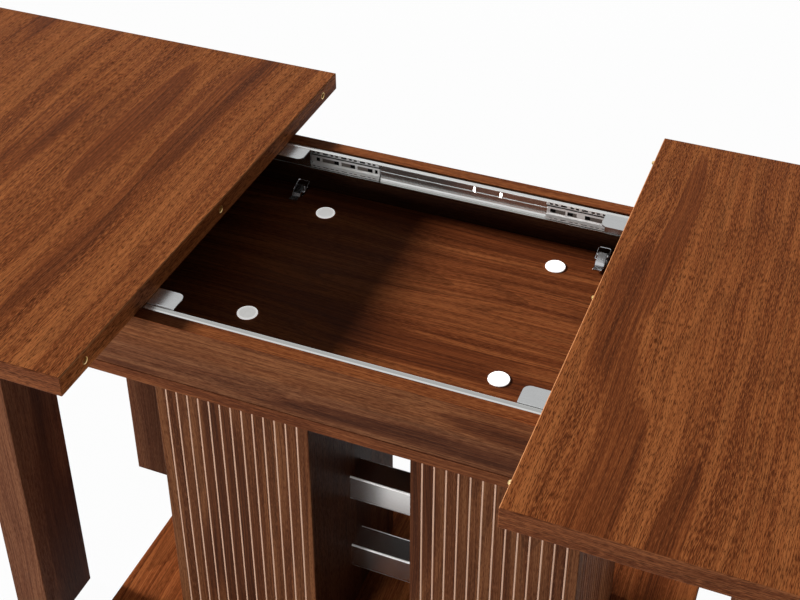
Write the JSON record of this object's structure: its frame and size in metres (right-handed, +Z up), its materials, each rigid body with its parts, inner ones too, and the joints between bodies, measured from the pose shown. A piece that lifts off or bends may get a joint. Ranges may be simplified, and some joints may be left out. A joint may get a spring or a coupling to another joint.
{
  "type": "extending dining table",
  "caption": "Extending dining table with sliding walnut top halves on ball-bearing slides, a leaf tray with draw latches, and fluted columns on a base plate.",
  "frame": {"origin": "on the floor, under the middle of the gap between the top halves", "axes": "+X along the table to the half with pins, +Y to the back of the tray, +Z up"},
  "size_m": [1.944, 0.8, 0.758],
  "materials": {
    "walnut_top": "satin walnut, grain across the table",
    "walnut_tray": "satin walnut, grain along the table",
    "walnut_column": "satin walnut, upright grain",
    "walnut_base": "satin walnut",
    "steel_bar": "brushed along the bar",
    "steel_slide": "drawn zinc-plated steel",
    "steel_cage": "stamped steel",
    "steel_carriage": "zinc-plated steel",
    "latch_steel": "plated steel",
    "brass": "turned brass",
    "pad_plastic": "white felt or plastic"
  },
  "bodies": {
    "frame": {"base_plate": "walnut_base", "column_front_left": "walnut_column", "column_rear_left": "walnut_column", "column_inner_left": "walnut_column", "column_outer_left": "walnut_column", "column_front_right": "walnut_column", "column_rear_right": "walnut_column", "column_inner_right": "walnut_column", "column_outer_right": "walnut_column", "bar_lower": "steel_bar", "bar_upper": "steel_bar", "leg_front_left": "walnut_base", "leg_rear_left": "walnut_base", "leg_front_right": "walnut_base", "leg_rear_right": "walnut_base", "bottom_board": "walnut_tray", "floor_panel": "walnut_tray", "rail_front": "walnut_tray", "rail_rear": "walnut_tray", "end_rail_left": "walnut_tray", "end_rail_right": "walnut_tray", "slide_front": "steel_slide", "slide_rear": "steel_slide", "pad_front_left": "pad_plastic", "pad_rear_left": "pad_plastic", "pad_front_right": "pad_plastic", "pad_rear_right": "pad_plastic", "latch_base_left": "latch_steel", "latch_base_right": "latch_steel"},
    "left_half": {"top_left": "walnut_top", "socket_front": "brass", "socket_middle": "brass", "socket_rear": "brass", "runner_front_left": "steel_carriage", "runner_rear_left": "steel_carriage"},
    "right_half": {"top_right": "walnut_top", "pin_front": "brass", "pin_middle": "brass", "pin_rear": "brass", "runner_front_right": "steel_carriage", "runner_rear_right": "steel_carriage"},
    "run_front_left": {"carriage_front_left": "steel_carriage"},
    "run_rear_left": {"carriage_rear_left": "steel_carriage"},
    "run_front_right": {"carriage_front_right": "steel_carriage"},
    "run_rear_right": {"carriage_rear_right": "steel_carriage"},
    "balls_front_left": {"cage_front_left": "steel_cage"},
    "balls_rear_left": {"cage_rear_left": "steel_cage"},
    "balls_front_right": {"cage_front_right": "steel_cage"},
    "balls_rear_right": {"cage_rear_right": "steel_cage"},
    "latch_lever_left": {"lever_left": "latch_steel"},
    "latch_lever_right": {"lever_right": "latch_steel"},
    "latch_bail_left": {"bail_left": "latch_steel"},
    "latch_bail_right": {"bail_right": "latch_steel"}
  },
  "joints": [
    {"name": "left_slide", "type": "slide", "parent": "frame", "child": "left_half", "axis": [1, 0, 0], "range_m": [0, 0.2717]},
    {"name": "right_slide", "type": "slide", "parent": "frame", "child": "right_half", "axis": [-1, 0, 0], "range_m": [0, 0.2717]},
    {"name": "run_front_left_slide", "type": "slide", "parent": "frame", "child": "run_front_left", "axis": [1, 0, 0], "range_m": [0, 0.1359]},
    {"name": "run_rear_left_slide", "type": "slide", "parent": "frame", "child": "run_rear_left", "axis": [1, 0, 0], "range_m": [0, 0.1359]},
    {"name": "run_front_right_slide", "type": "slide", "parent": "frame", "child": "run_front_right", "axis": [-1, 0, 0], "range_m": [0, 0.1359]},
    {"name": "run_rear_right_slide", "type": "slide", "parent": "frame", "child": "run_rear_right", "axis": [-1, 0, 0], "range_m": [0, 0.1359]},
    {"name": "balls_front_left_slide", "type": "slide", "parent": "frame", "child": "balls_front_left", "axis": [1, 0, 0], "range_m": [0, 0.068]},
    {"name": "balls_rear_left_slide", "type": "slide", "parent": "frame", "child": "balls_rear_left", "axis": [1, 0, 0], "range_m": [0, 0.068]},
    {"name": "balls_front_right_slide", "type": "slide", "parent": "frame", "child": "balls_front_right", "axis": [-1, 0, 0], "range_m": [0, 0.068]},
    {"name": "balls_rear_right_slide", "type": "slide", "parent": "frame", "child": "balls_rear_right", "axis": [-1, 0, 0], "range_m": [0, 0.068]},
    {"name": "left_latch", "type": "hinge", "parent": "frame", "child": "latch_lever_left", "pos_m": [-0.243, 0.19545, 0.668], "axis": [-1, 0, 0], "range_deg": [0, 75]},
    {"name": "right_latch", "type": "hinge", "parent": "frame", "child": "latch_lever_right", "pos_m": [0.237, 0.19545, 0.668], "axis": [-1, 0, 0], "range_deg": [0, 75]},
    {"name": "left_bail", "type": "hinge", "parent": "latch_lever_left", "child": "latch_bail_left", "pos_m": [-0.243, 0.18745, 0.6659], "axis": [-1, 0, 0], "range_deg": [-37.5, 0]},
    {"name": "right_bail", "type": "hinge", "parent": "latch_lever_right", "child": "latch_bail_right", "pos_m": [0.237, 0.18745, 0.6659], "axis": [-1, 0, 0], "range_deg": [-37.5, 0]}
  ],
  "couplings": [
    {"joint": "run_front_left_slide", "follows": "left_slide", "ratio": 0.5},
    {"joint": "run_rear_left_slide", "follows": "left_slide", "ratio": 0.5},
    {"joint": "run_front_right_slide", "follows": "right_slide", "ratio": 0.5},
    {"joint": "run_rear_right_slide", "follows": "right_slide", "ratio": 0.5},
    {"joint": "balls_front_left_slide", "follows": "left_slide", "ratio": 0.25},
    {"joint": "balls_rear_left_slide", "follows": "left_slide", "ratio": 0.25},
    {"joint": "balls_front_right_slide", "follows": "right_slide", "ratio": 0.25},
    {"joint": "balls_rear_right_slide", "follows": "right_slide", "ratio": 0.25},
    {"joint": "left_bail", "follows": "left_latch", "ratio": -0.5},
    {"joint": "right_bail", "follows": "right_latch", "ratio": -0.5}
  ]
}
